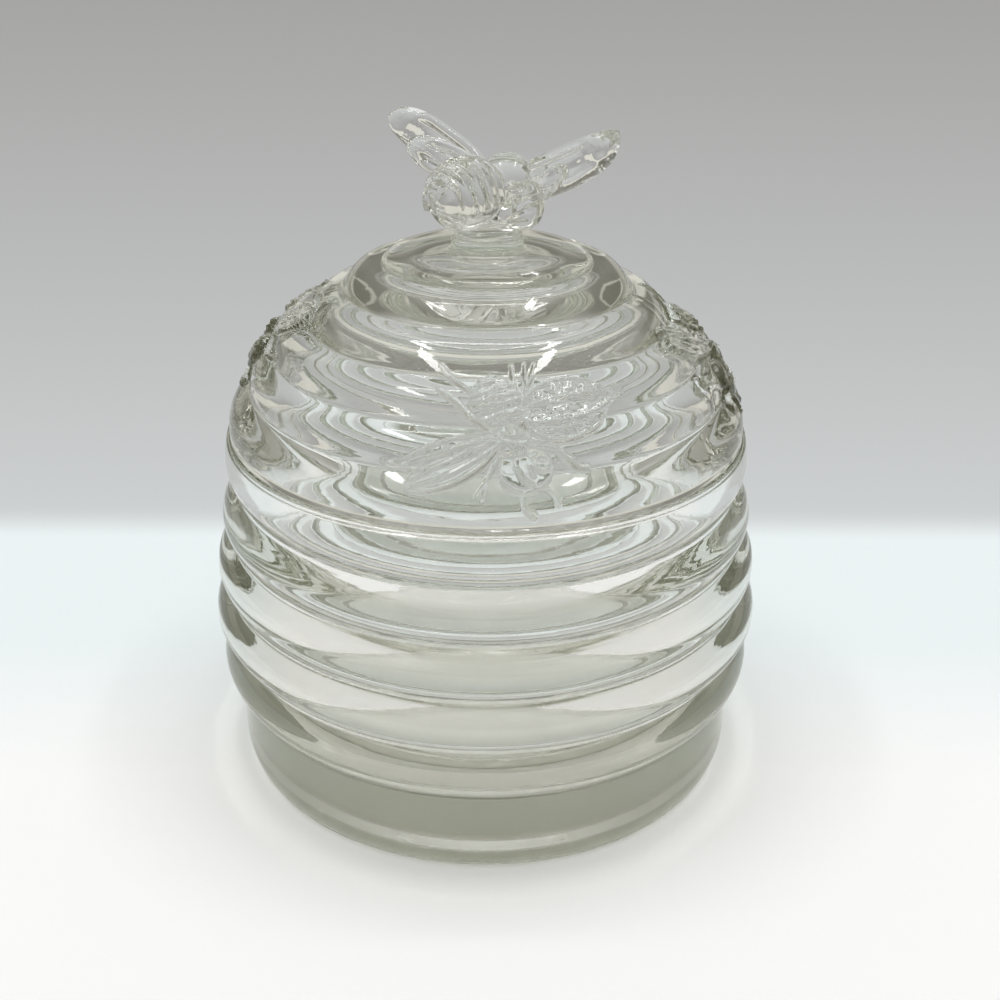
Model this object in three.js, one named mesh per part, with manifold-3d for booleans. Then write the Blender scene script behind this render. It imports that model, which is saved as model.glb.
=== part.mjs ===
// Glass honey jar in the shape of a straw beehive: a ribbed pressed-glass jar, a domed lid that lifts off,
// and a glass bee on top of the lid to lift it by. Millimetres, +Z up, origin in the middle of the foot.

import * as THREE from 'three';
import { mergeVertices } from 'three/addons/utils/BufferGeometryUtils.js';
import Module from 'manifold-3d';

const wasm = await Module();
wasm.setup();

// Fineness of the surfaces, in steps
const TURN_STEPS = 48;
const RIB_STEPS = 4;
const ROUND_STEPS = 4;
const BORE_ROUND_STEPS = 6;
const DOME_STEPS = 8;
const BALL_TURN_STEPS = 14;
const BALL_RISE_STEPS = 8;
const RELIEF_TURN_STEPS = 12;
const RELIEF_RISE_STEPS = 6;

// Jar: a plain foot ring, then ribs stacked like coils of straw, widest at the second
const BELLY_RADIUS = 53;
const FOOT_SET_IN = 4;
const FOOT_HEIGHT = 16.8;
const FOOT_ROUND_WIDTH = 2.4;
const FOOT_ROUND_HEIGHT = 5;
const FOOT_RING_WIDTH = 8;
const FOOT_RECESS_DEPTH = 1.2;
const FOOT_RECESS_SLOPE = 2.5;
const RIB_HEIGHT = 10.06;
const RIB_DEPTH = 2.7;
const RIB_RADIUS_SHARES = [0.984, 1, 0.982, 0.953, 0.927];
const RIM_SET_IN = 0.75;

// Bore of the jar, drawn in a little towards its thick floor
const RIM_WALL = 4.2;
const RIM_ROUND = 0.6;
const FLOOR_THICKNESS = 14.5;
const BORE_TAPER = 1.6;
const BORE_ROUND = 6;

// Lid: a dome of stepped bands that sits on the jar's rim, with a lip that keeps it centred in the mouth
const SEAT_GAP = 0.3;
const LID_SET_IN = 0.4;
const LID_EDGE_ROUND = 0.5;
const DOME_RISE = 33;
const BAND_DEPTH = 1.5;
const BAND_RADIUS_SHARES = [1, 0.912, 0.816, 0.69, 0.546, 0.388];
const BAND_RISE_SHARES = [0, 0.25, 0.445, 0.625, 0.805, 0.94];
const CROWN_ROUND = 5;
const CROWN_THICKNESS = 5.4;
const HOLLOW_FLAT = 6;
const LIP_CLEARANCE = 0.5;
const LIP_WALL = 3.4;
const LIP_DEPTH = 4;

// Plinth in the middle of the lid, which carries the bee
const PLINTH_LENGTH = 13;
const PLINTH_WIDTH = 9;
const PLINTH_HEIGHT = 2.4;
const PLINTH_SINK = 0.8;

// Bees in low relief on the dome: how long one is, how far it stands out, and where each one sits
const RELIEF_LENGTH = 19;
const RELIEF_HEIGHT = 1.3;
const RELIEF_BASE_SHARE = 0.8;
const RELIEF_SINK_SHARE = 0.55;
const RELIEF_PLACES = [
  { azimuth: -84.4, slopeShare: 0.3, tilt: 24 },
  { azimuth: -4, slopeShare: 0.36, tilt: -30 },
  { azimuth: 172, slopeShare: 0.39, tilt: 24 },
];

// One relief bee, seen from outside with its tail up: centre, half width and half length of each lump as
// shares of the bee's length, its height as a share of the relief, and its turn in degrees
const RELIEF_LUMP_SHARES = [
  { across: 0, along: 0.35, width: 0.2, length: 0.27, height: 1, turn: 0 },
  { across: 0, along: 0, width: 0.16, length: 0.17, height: 1.1, turn: 0 },
  { across: 0, along: -0.27, width: 0.19, length: 0.17, height: 1, turn: 0 },
];
const RELIEF_WING_SHARES = [
  { across: 0.52, along: 0.02, width: 0.15, length: 0.38, height: 0.6, turn: -84 },
  { across: 0.49, along: 0.17, width: 0.15, length: 0.33, height: 0.5, turn: -70 },
];

// Glass bee on the plinth, turned by its heading so that its tail comes towards the front; its droop is how
// far the tail hangs below the middle of the abdomen
const BEE_HEADING = 43;
const ABDOMEN_RADIUS = 6.9;
const ABDOMEN_LENGTH = 13.6;
const ABDOMEN_LIFT = 0.8;
const ABDOMEN_DROOP = 1;
const ABDOMEN_RIDGES = 7;
const ABDOMEN_RIDGE_DEPTH = 0.6;
const ABDOMEN_BACK_SHARE = 0.4;
const THORAX_RADIUS = 5;
const HEAD_RADIUS = 3.4;
const HEAD_DROP = 2;
const BODY_OVERLAP_SHARE = 0.15;
const THORAX_LIFT_SHARE = 0.2;
const SADDLE_HEIGHT = 2.6;
const SADDLE_SHARE = 0.9;

// Its wings: thick upright blades that were turned a little on the body and bent unalike while the glass was
// hot; rises and drops are heights of the tips and roots, and heading, lean and sweep are in degrees
const WING_HEADING = 59;
const WING_LEAN = 12;
const WING_SHIFT = 1.7;
const WING_LIFT = 0.8;
const FORE_WING_LENGTH = 24.6;
const FORE_WING_WIDTH = 7.8;
const FORE_WING_THICKNESS = 3.4;
const FORE_WING_RISE = 11;
const FORE_WING_DROP = 1.6;
const HIND_WING_LENGTH = 17.2;
const HIND_WING_RIGHT_SHARE = 0.733;
const HIND_WING_WIDTH = 6.8;
const HIND_WING_THICKNESS = 3;
const HIND_WING_RISE_LEFT = 7.6;
const HIND_WING_RISE_RIGHT = 3;
const HIND_WING_DROP = 1.2;
const HIND_WING_DROP_RIGHT = 5;
const HIND_WING_SWEEP = 30;
const HIND_WING_SWEEP_RIGHT = 12;

// Sizes that follow from those above
const FOOT_RADIUS = BELLY_RADIUS - FOOT_SET_IN;
const RIB_RADII = RIB_RADIUS_SHARES.map((share) => share * BELLY_RADIUS);
const JAR_HEIGHT = FOOT_HEIGHT + RIB_RADII.length * RIB_HEIGHT;
const RIM_RADIUS = RIB_RADII.at(-1) - RIM_SET_IN;
const MOUTH_RADIUS = RIM_RADIUS - RIM_WALL;
const LID_RADIUS = RIM_RADIUS - LID_SET_IN;
const LID_SEAT = JAR_HEIGHT + SEAT_GAP;
const LID_TOP = LID_SEAT + DOME_RISE;
const LIP_RADIUS = MOUTH_RADIUS - LIP_CLEARANCE;
const DOME_BORE_RADIUS = LIP_RADIUS - LIP_WALL;
const PLINTH_TOP = LID_TOP + PLINTH_HEIGHT;
const BEE_SEAT = PLINTH_TOP + SEAT_GAP;

/** Turns a profile of [radius, height] points, outer side upwards, into a body round +Z. */
function turned(profile, steps = TURN_STEPS) {
  const points = profile.map(([radius, height]) => new THREE.Vector2(radius, height));
  return new THREE.LatheGeometry(points, steps).rotateX(Math.PI / 2);
}

/** Points of an elliptic quarter round centre, from one angle to another in quarters of a turn. */
function quarterRound([radius, height], width, rise, from, to, steps) {
  const points = [];
  for (let step = 0; step <= steps; step += 1) {
    const angle = (from + (to - from) * step / steps) * Math.PI / 2;
    points.push([radius + width * Math.cos(angle), height + rise * Math.sin(angle)]);
  }
  return points;
}

/** Points from one crease to the next along a rib that swells by bulge square to the line between them. */
function swelled(from, to, bulge, steps) {
  const [radius, height] = from;
  const run = to[0] - radius;
  const rise = to[1] - height;
  const length = Math.hypot(run, rise);
  const points = [];
  for (let step = 0; step < steps; step += 1) {
    const share = step / steps;
    const swell = bulge * Math.sin(Math.PI * share);
    points.push([radius + run * share + swell * rise / length, height + rise * share - swell * run / length]);
  }
  return points;
}

/** The solid that a closed geometry bounds. */
function solidOf(geometry) {
  const bare = geometry.clone();
  bare.deleteAttribute('normal');
  bare.deleteAttribute('uv');
  const merged = mergeVertices(bare);
  const corners = merged.index.array;
  const triangles = [];
  for (let first = 0; first < corners.length; first += 3) {
    const [a, b, c] = corners.slice(first, first + 3);
    if (a !== b && b !== c && c !== a) triangles.push(a, b, c);
  }
  return new wasm.Manifold(new wasm.Mesh({
    numProp: 3,
    vertProperties: new Float32Array(merged.attributes.position.array),
    triVerts: new Uint32Array(triangles),
  }));
}

/** The geometry of the solid that joins all the given geometries. */
function joined(geometries) {
  const whole = geometries.map(solidOf).reduce((sum, solid) => sum.add(solid));
  const mesh = whole.getMesh();
  const geometry = new THREE.BufferGeometry();
  geometry.setAttribute('position', new THREE.BufferAttribute(new Float32Array(mesh.vertProperties), 3));
  geometry.setIndex(new THREE.BufferAttribute(new Uint32Array(mesh.triVerts), 1));
  geometry.computeVertexNormals();
  return geometry;
}

/** An ellipsoid with the given half sizes along X, Y and Z. */
function ellipsoid(halfX, halfY, halfZ, turnSteps = BALL_TURN_STEPS, riseSteps = BALL_RISE_STEPS) {
  return new THREE.SphereGeometry(1, turnSteps, riseSteps).scale(halfX, halfY, halfZ);
}

/** A named glass piece. */
function piece(name, geometry, color, roughness) {
  const glass = new THREE.MeshStandardMaterial({ color, roughness, metalness: 0 });
  const mesh = new THREE.Mesh(geometry, glass);
  mesh.name = name;
  return mesh;
}

/** Radius of the crease under each rib, and of the rim above the last one. */
function creaseRadii() {
  const radii = RIB_RADII.map((radius, rib) => {
    const below = rib === 0 ? radius : RIB_RADII[rib - 1];
    return (radius + below) / 2 - RIB_DEPTH;
  });
  return [...radii, RIM_RADIUS];
}

/** The jar's outline: recessed underside, foot ring, ribs, rim, and down the bore to the floor. */
function jarProfile() {
  const ringOuter = FOOT_RADIUS - FOOT_ROUND_WIDTH;
  const ringInner = ringOuter - FOOT_RING_WIDTH;
  const creases = creaseRadii();
  const profile = [
    [0, FOOT_RECESS_DEPTH],
    [ringInner - FOOT_RECESS_SLOPE, FOOT_RECESS_DEPTH],
    [ringInner, 0],
    ...quarterRound([ringOuter, FOOT_ROUND_HEIGHT], FOOT_ROUND_WIDTH, FOOT_ROUND_HEIGHT, -1, 0, ROUND_STEPS),
    [FOOT_RADIUS, FOOT_HEIGHT],
  ];
  RIB_RADII.forEach((radius, rib) => {
    const from = [creases[rib], FOOT_HEIGHT + rib * RIB_HEIGHT];
    const to = [creases[rib + 1], from[1] + RIB_HEIGHT];
    profile.push(...swelled(from, to, radius - (from[0] + to[0]) / 2, RIB_STEPS));
  });
  const boreFloor = MOUTH_RADIUS - BORE_TAPER;
  profile.push(
    ...quarterRound([RIM_RADIUS - RIM_ROUND, JAR_HEIGHT - RIM_ROUND], RIM_ROUND, RIM_ROUND, 0, 1, 2),
    ...quarterRound([MOUTH_RADIUS + RIM_ROUND, JAR_HEIGHT - RIM_ROUND], RIM_ROUND, RIM_ROUND, 1, 2, 2),
    ...quarterRound([boreFloor - BORE_ROUND, FLOOR_THICKNESS + BORE_ROUND], BORE_ROUND, BORE_ROUND,
      0, -1, BORE_ROUND_STEPS),
    [0, FLOOR_THICKNESS],
  );
  return profile;
}

/** The jar, which stands on the table and holds the honey. */
function makeJar() {
  return piece('jar_body', turned(jarProfile()), 0xc9ccc2, 0.08);
}

/** The creases between the lid's bands as [radius, height], from its edge up to the flat crown. */
function bandCreases() {
  return BAND_RADIUS_SHARES.map((share, band) => [
    share * LID_RADIUS,
    LID_SEAT + BAND_RISE_SHARES[band] * DOME_RISE,
  ]);
}

/** The lid's outline: lip, seat, stepped bands, crown, and down the hollow of the dome. */
function lidProfile() {
  const creases = bandCreases();
  creases[0][1] += LID_EDGE_ROUND;
  const [crownRadius, crownFoot] = creases.at(-1);
  const profile = [
    [DOME_BORE_RADIUS, LID_SEAT - LIP_DEPTH],
    [LIP_RADIUS, LID_SEAT - LIP_DEPTH],
    [LIP_RADIUS, LID_SEAT],
    [LID_RADIUS - LID_EDGE_ROUND, LID_SEAT],
  ];
  for (let band = 0; band + 1 < creases.length; band += 1) {
    profile.push(...swelled(creases[band], creases[band + 1], BAND_DEPTH, RIB_STEPS));
  }
  profile.push(...quarterRound([crownRadius - CROWN_ROUND, crownFoot], CROWN_ROUND, LID_TOP - crownFoot,
    0, 1, ROUND_STEPS), [0, LID_TOP]);
  const hollowRise = DOME_RISE - CROWN_THICKNESS;
  profile.push([0, LID_SEAT + hollowRise]);
  profile.push(...quarterRound([HOLLOW_FLAT, LID_SEAT], DOME_BORE_RADIUS - HOLLOW_FLAT, hollowRise, 1, 0,
    DOME_STEPS));
  profile.push([DOME_BORE_RADIUS, LID_SEAT - LIP_DEPTH]);
  return profile;
}

/** Places a shape on the dome: across round it and along up its slope from a bee's middle, then turned. */
function onDome(geometry, place, across, along, turn) {
  const creases = bandCreases().map(([radius, height]) => new THREE.Vector2(radius, height));
  const slope = new THREE.SplineCurve(creases);
  const share = THREE.MathUtils.clamp(place.slopeShare + along / slope.getLength(), 0, 1);
  const spot = slope.getPointAt(share);
  const climb = slope.getTangentAt(share);
  const azimuth = THREE.MathUtils.degToRad(place.azimuth) + across / spot.x;
  const round = new THREE.Vector3(-Math.sin(azimuth), Math.cos(azimuth), 0);
  const up = new THREE.Vector3(climb.x * Math.cos(azimuth), climb.x * Math.sin(azimuth), climb.y);
  const out = new THREE.Vector3().crossVectors(round, up);
  const frame = new THREE.Matrix4().makeBasis(round, up, out);
  frame.setPosition(spot.x * Math.cos(azimuth), spot.x * Math.sin(azimuth), spot.y);
  return geometry.rotateZ(THREE.MathUtils.degToRad(turn)).applyMatrix4(frame);
}

/** The lumps of one bee in low relief, laid over the bands of the dome. */
function reliefBee(place) {
  const tilt = THREE.MathUtils.degToRad(place.tilt);
  const mirrored = RELIEF_WING_SHARES.map((wing) => ({ ...wing, across: -wing.across, turn: -wing.turn }));
  return [...RELIEF_LUMP_SHARES, ...RELIEF_WING_SHARES, ...mirrored].map((lump) => {
    const across = (lump.across * Math.cos(tilt) - lump.along * Math.sin(tilt)) * RELIEF_LENGTH;
    const along = (lump.across * Math.sin(tilt) + lump.along * Math.cos(tilt)) * RELIEF_LENGTH;
    const height = lump.height * RELIEF_HEIGHT / RELIEF_SINK_SHARE;
    const shape = ellipsoid(lump.width * RELIEF_LENGTH, lump.length * RELIEF_LENGTH, height,
      RELIEF_TURN_STEPS, RELIEF_RISE_STEPS);
    shape.translate(0, 0, RELIEF_HEIGHT * lump.height - height + BAND_DEPTH * RELIEF_BASE_SHARE);
    return onDome(shape, place, across, along, lump.turn + place.tilt);
  });
}

/** An upright block with an elliptic outline, from one height to another. */
function ellipticBlock(length, width, from, to) {
  const block = new THREE.CylinderGeometry(1, 1, 1, TURN_STEPS / 2).rotateX(Math.PI / 2);
  return block.scale(length / 2, width / 2, to - from).translate(0, 0, (from + to) / 2);
}

/** The lid, with the bees of its relief and the plinth moulded on. */
function makeLid() {
  const plinth = ellipticBlock(PLINTH_LENGTH, PLINTH_WIDTH, LID_TOP - PLINTH_SINK, PLINTH_TOP);
  const bees = RELIEF_PLACES.flatMap(reliefBee);
  return piece('lid_dome', joined([turned(lidProfile()), plinth, ...bees]), 0xcfd2ca, 0.08);
}

/** The bee's striped abdomen, with its tail towards -X and its middle at the origin. */
function abdomen() {
  const steps = ABDOMEN_RIDGES * 4;
  const profile = [];
  for (let step = 0; step <= steps; step += 1) {
    const angle = Math.asin(2 * step / steps - 1);
    const ridge = ABDOMEN_RIDGE_DEPTH * Math.abs(Math.sin(Math.PI * ABDOMEN_RIDGES * step / steps));
    profile.push([(ABDOMEN_RADIUS - ABDOMEN_RIDGE_DEPTH + ridge) * Math.cos(angle),
      ABDOMEN_LENGTH / 2 * Math.sin(angle)]);
  }
  profile[0][0] = 0;
  profile[steps][0] = 0;
  return turned(profile, BALL_TURN_STEPS).rotateY(Math.PI / 2);
}

/** A wing from its root at the origin along +Y, its tip raised, its root dropped, swept towards the tail. */
function wing({ length, width, thickness, rise, drop, sweep }) {
  const blade = ellipsoid(thickness / 2, length / 2, width / 2).translate(0, length / 2, -drop);
  blade.rotateY(THREE.MathUtils.degToRad(WING_LEAN));
  blade.rotateX(Math.asin(rise / length));
  return blade.rotateZ(THREE.MathUtils.degToRad(sweep));
}

/** One of the bee's pairs of wings, joined at the thorax: side is 1 for the left, -1 for the right. */
function wingPair(side, root) {
  const left = side > 0;
  const fore = { rise: FORE_WING_RISE, drop: FORE_WING_DROP, sweep: 0 };
  const hind = left
    ? { length: HIND_WING_LENGTH, rise: HIND_WING_RISE_LEFT, drop: HIND_WING_DROP, sweep: HIND_WING_SWEEP }
    : { length: HIND_WING_LENGTH * HIND_WING_RIGHT_SHARE, rise: HIND_WING_RISE_RIGHT,
      drop: HIND_WING_DROP_RIGHT, sweep: HIND_WING_SWEEP_RIGHT };
  const blades = [
    wing({ ...fore, length: FORE_WING_LENGTH, width: FORE_WING_WIDTH, thickness: FORE_WING_THICKNESS }),
    wing({ ...hind, width: HIND_WING_WIDTH, thickness: HIND_WING_THICKNESS }),
  ];
  const turn = THREE.MathUtils.degToRad(WING_HEADING - BEE_HEADING);
  return blades.map((blade) => {
    if (!left) blade.applyMatrix4(new THREE.Matrix4().makeScale(1, -1, 1));
    if (!left) blade.setIndex([...blade.index.array].reverse());
    blade.translate(0, root.y * side, root.z).rotateZ(turn);
    return blade.translate(root.x, WING_SHIFT, 0);
  });
}

/** The glass bee on its saddle. */
function makeBee() {
  const abdomenHeight = BEE_SEAT + ABDOMEN_LIFT + ABDOMEN_RADIUS;
  const middle = new THREE.Vector3(-ABDOMEN_LENGTH * ABDOMEN_BACK_SHARE, 0, abdomenHeight);
  const reach = ABDOMEN_LENGTH / 2 + THORAX_RADIUS * (1 - 2 * BODY_OVERLAP_SHARE);
  const thorax = new THREE.Vector3(middle.x + reach, 0, middle.z + THORAX_RADIUS * THORAX_LIFT_SHARE);
  const neck = THORAX_RADIUS + HEAD_RADIUS * (1 - 2 * BODY_OVERLAP_SHARE);
  const wingRoot = new THREE.Vector3(thorax.x, THORAX_RADIUS * BODY_OVERLAP_SHARE, middle.z + WING_LIFT);
  const parts = [
    abdomen().rotateY(-Math.asin(2 * ABDOMEN_DROOP / ABDOMEN_LENGTH)).translate(middle.x, middle.y, middle.z),
    ellipsoid(THORAX_RADIUS, THORAX_RADIUS, THORAX_RADIUS).translate(thorax.x, thorax.y, thorax.z),
    ellipsoid(HEAD_RADIUS, HEAD_RADIUS, HEAD_RADIUS).translate(thorax.x + neck, 0, thorax.z - HEAD_DROP),
    ...wingPair(1, wingRoot),
    ...wingPair(-1, wingRoot),
  ].map((shape) => shape.rotateZ(THREE.MathUtils.degToRad(BEE_HEADING)));
  const saddle = ellipticBlock(PLINTH_LENGTH * SADDLE_SHARE, PLINTH_WIDTH * SADDLE_SHARE, BEE_SEAT,
    BEE_SEAT + SADDLE_HEIGHT);
  return piece('bee_finial', joined([saddle, ...parts]), 0xd4d6cf, 0.06);
}

const honeyJar = new THREE.Group();
honeyJar.name = 'beehive_honey_jar';
const lidGroup = new THREE.Group();
lidGroup.name = 'lid';
lidGroup.add(makeLid(), makeBee());
honeyJar.add(makeJar(), lidGroup);

export default honeyJar;
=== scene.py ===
"""Looks of a pressed-glass honey jar shaped like a straw beehive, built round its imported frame.

The jar, the lid with its moulded bees and the glass bee on top are made in millimetres and turned to metres
when they are finished. X is to the right, Y is away from the camera and Z is up.
"""
import logging
import math
from collections.abc import Sequence
from dataclasses import dataclass, field
from enum import Enum

import bmesh
import bpy
import numpy as np
from mathutils import Matrix, Vector


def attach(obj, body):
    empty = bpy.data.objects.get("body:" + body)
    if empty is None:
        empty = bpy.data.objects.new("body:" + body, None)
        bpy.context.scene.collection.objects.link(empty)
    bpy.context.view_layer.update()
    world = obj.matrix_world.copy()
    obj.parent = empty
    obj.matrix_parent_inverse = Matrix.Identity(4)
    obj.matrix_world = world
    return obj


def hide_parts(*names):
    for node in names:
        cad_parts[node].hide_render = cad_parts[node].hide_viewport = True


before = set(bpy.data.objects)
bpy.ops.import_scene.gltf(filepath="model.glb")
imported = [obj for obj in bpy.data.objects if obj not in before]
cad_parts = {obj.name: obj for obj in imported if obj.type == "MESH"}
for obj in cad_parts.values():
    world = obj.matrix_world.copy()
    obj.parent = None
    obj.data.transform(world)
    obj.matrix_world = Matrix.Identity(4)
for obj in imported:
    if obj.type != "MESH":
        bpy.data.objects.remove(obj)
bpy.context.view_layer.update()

LOG = logging.getLogger("honey_jar")
MM = 0.001
MM_PER_METRE = 1000
TINY = 1e-6
MATH = "ShaderNodeMath"
WHITE = "ffffff"
CRUMPLE_KNOTS = (97, 89)
Point = tuple[float, float]


class Body(Enum):
    """The frame's moving bodies."""

    JAR = "jar"
    LID = "lid"


class Slot(Enum):
    """The record's material slots."""

    JAR = "jar_glass"
    LID = "lid_glass"
    BEE = "bee_glass"


def linear(colour: str) -> tuple[float, float, float, float]:
    """Turns an sRGB colour into linear light.

    Args:
        colour: Six hex digits, two for each of red, green and blue.

    Returns:
        Linear red, green and blue, and an alpha of 1.
    """
    parts = [int(colour[start:start + 2], 16) / 255 for start in (0, 2, 4)]
    red, green, blue = [part / 12.92 if part <= 0.04045 else ((part + 0.055) / 1.055) ** 2.4
                        for part in parts]
    return red, green, blue, 1.0


def add_node(tree: bpy.types.NodeTree, kind: str, inputs: dict | None = None,
             **settings) -> bpy.types.Node:
    """Adds a node to a tree.

    Args:
        tree: The tree that gets the node.
        kind: Blender's name for the node's type.
        inputs: What goes into its sockets, by name or number: a value, or another node's output to link.
        **settings: Values of the node's own properties.

    Returns:
        The new node.
    """
    node = tree.nodes.new(kind)
    for name, value in settings.items():
        setattr(node, name, value)
    for key, value in (inputs or {}).items():
        if isinstance(value, bpy.types.NodeSocket):
            tree.links.new(value, node.inputs[key])
        else:
            node.inputs[key].default_value = value
    return node


def smooth_step(value: np.ndarray) -> np.ndarray:
    """Eases 0 to 1 in and out, and holds both ends."""
    held = np.clip(value, 0, 1)
    return held * held * (3 - 2 * held)


def soft_wave(turns: np.ndarray, softness: float) -> np.ndarray:
    """A row of round humps from 0 to about 1, one for each whole number, with softened valleys."""
    return np.sqrt(np.sin(np.pi * turns) ** 2 + softness ** 2) - softness


def line(start: Point, end: Point, steps: int) -> list[Point]:
    """Points on a straight line, its end left out."""
    return [(start[0] + (end[0] - start[0]) * step / steps, start[1] + (end[1] - start[1]) * step / steps)
            for step in range(steps)]


def turned_axes(across: np.ndarray, along: np.ndarray, degrees: float) -> tuple[np.ndarray, np.ndarray]:
    """Places seen from two axes that are turned by some degrees."""
    turn = math.radians(degrees)
    return (across * math.cos(turn) + along * math.sin(turn),
            along * math.cos(turn) - across * math.sin(turn))


def quarter(centre: Point, width: float, rise: float, start: float, end: float, steps: int) -> list[Point]:
    """Points on an elliptic arc.

    Args:
        centre: Radius and height of its centre.
        width: Half size across.
        rise: Half size up.
        start: Where it starts, in quarters of a turn from the outward direction.
        end: Where it ends, counted the same way.
        steps: How many steps it is drawn in.

    Returns:
        The points, both ends among them.
    """
    angles = [(start + (end - start) * step / steps) * math.pi / 2 for step in range(steps + 1)]
    return [(centre[0] + width * math.cos(angle), centre[1] + rise * math.sin(angle)) for angle in angles]


def empty_tree(owner: bpy.types.Material | bpy.types.World) -> bpy.types.NodeTree:
    """Gives a material or a world a node tree with nothing in it."""
    owner.use_nodes = True
    owner.node_tree.nodes.clear()
    return owner.node_tree


def add_object(name: str, data: bpy.types.ID) -> bpy.types.Object:
    """Puts a mesh, lamp or camera into the scene as an object of that name."""
    made = bpy.data.objects.new(name, data)
    bpy.context.scene.collection.objects.link(made)
    return made


def mesh_from(name: str, points: np.ndarray, faces: Sequence[Sequence[int]]) -> bpy.types.Mesh:
    """Makes a mesh from points and faces."""
    mesh = bpy.data.meshes.new(name)
    mesh.from_pydata(points.tolist(), [], faces)
    return mesh


def ring_faces(rows: int, around: int) -> list[tuple[int, ...]]:
    """Faces between rows of points that each go once round."""
    return [(row * around + step, row * around + (step + 1) % around,
             (row + 1) * around + (step + 1) % around, (row + 1) * around + step)
            for row in range(rows - 1) for step in range(around)]


def tidy_mesh(mesh: bpy.types.Mesh, merge: float) -> None:
    """Closes seams and poles, turns every face outwards and shades the mesh smooth.

    Args:
        mesh: The mesh that is changed.
        merge: Points closer than this become one.
    """
    made = bmesh.new()
    made.from_mesh(mesh)
    bmesh.ops.remove_doubles(made, verts=made.verts, dist=merge)
    bmesh.ops.recalc_face_normals(made, faces=made.faces)
    if made.calc_volume(signed=True) < 0:
        bmesh.ops.reverse_faces(made, faces=made.faces)
    made.to_mesh(mesh)
    made.free()
    mesh.polygons.foreach_set("use_smooth", [True] * len(mesh.polygons))
    mesh.update()


def frozen(source: bpy.types.Object, name: str) -> bpy.types.Mesh:
    """Turns an object with its modifiers into a plain mesh, and takes the object away.

    Args:
        source: The object that is used up.
        name: The new mesh's name.

    Returns:
        A mesh with nothing live on it.
    """
    graph = bpy.context.evaluated_depsgraph_get()
    mesh = bpy.data.meshes.new_from_object(source.evaluated_get(graph))
    mesh.name = name
    bpy.data.objects.remove(source)
    return mesh


def finish_piece(name: str, mesh: bpy.types.Mesh, material: bpy.types.Material, body: Body,
                 node: str) -> bpy.types.Object:
    """Turns a mesh from millimetres to metres and puts it in the place of its CAD node.

    Args:
        name: The piece's name.
        mesh: Its mesh, in millimetres.
        material: Its finish.
        body: What it moves with.
        node: The CAD node that it stands for.

    Returns:
        The finished piece.
    """
    mesh.transform(Matrix.Scale(MM, 4))
    mesh.materials.clear()
    mesh.materials.append(material)
    made = add_object(name, mesh)
    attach(made, body.value)
    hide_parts(node)
    LOG.info("%s: %d faces", name, len(mesh.polygons))
    return made


@dataclass(frozen=True)
class PressedGlass:
    """Clear soda-lime glass, pressed in an iron mould.

    The mould's skin leaves faint waves that run round the piece, so what is seen through it looks drawn out
    in lines. Fire polishing leaves it glossy, and years of use leave a slight, uneven dullness and, on the
    jar's foot ring, ground-off gloss. Thick places look olive grey, because the glass holds a little iron.
    """

    name: str
    tint: str = "cbccb8"
    absorption: float = 16.5
    roughness: float = 0.012
    worn_height: float = 0.0
    worn_roughness: float = 0.3
    ior: float = 1.52
    wave_length: float = 1.3
    wave_reach: float = 40.0
    wave_height: float = 0.016
    wave_detail: float = 2.0
    wave_roughness: float = 0.45
    dull_size: float = 14.0
    dull_spread: float = 0.02
    dull_detail: float = 4.0
    dull_range: Point = (0.45, 0.75)

    def material(self) -> bpy.types.Material:
        """Makes the glass.

        Returns:
            The material, with its waves, its dull places and its body colour.
        """
        made = bpy.data.materials.new(self.name)
        tree = empty_tree(made)
        place = add_node(tree, "ShaderNodeTexCoord").outputs["Object"]
        reach = MM_PER_METRE / self.wave_reach
        drawn = add_node(tree, "ShaderNodeMapping", {
            "Vector": place, "Scale": (reach, reach, MM_PER_METRE / self.wave_length),
        })
        waves = add_node(tree, "ShaderNodeTexNoise", {
            "Vector": drawn.outputs["Vector"], "Scale": 1.0, "Detail": self.wave_detail,
            "Roughness": self.wave_roughness,
        })
        bump = add_node(tree, "ShaderNodeBump", {
            "Height": waves.outputs["Fac"], "Distance": self.wave_height * MM, "Strength": 1.0,
        })
        dull = add_node(tree, "ShaderNodeTexNoise", {
            "Vector": place, "Scale": MM_PER_METRE / self.dull_size, "Detail": self.dull_detail,
        })
        gloss = add_node(tree, "ShaderNodeMapRange", {
            "Value": dull.outputs["Fac"], "From Min": self.dull_range[0], "From Max": self.dull_range[1],
            "To Min": self.roughness, "To Max": self.roughness + self.dull_spread,
        })
        height = add_node(tree, "ShaderNodeSeparateXYZ", {0: place}).outputs["Z"]
        worn = add_node(tree, MATH, {0: height, 1: self.worn_height * MM}, operation="LESS_THAN")
        roughness = add_node(tree, "ShaderNodeMix", {
            "Factor": worn.outputs[0], "A": gloss.outputs["Result"], "B": self.worn_roughness,
        })
        shader = add_node(tree, "ShaderNodeBsdfPrincipled", {
            "Base Color": linear(WHITE), "IOR": self.ior, "Transmission Weight": 1.0,
            "Roughness": roughness.outputs["Result"], "Normal": bump.outputs["Normal"],
        })
        body = add_node(tree, "ShaderNodeVolumeAbsorption", {
            "Color": linear(self.tint), "Density": self.absorption,
        })
        add_node(tree, "ShaderNodeOutputMaterial", {
            "Surface": shader.outputs["BSDF"], "Volume": body.outputs["Volume"],
        })
        return made


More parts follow.
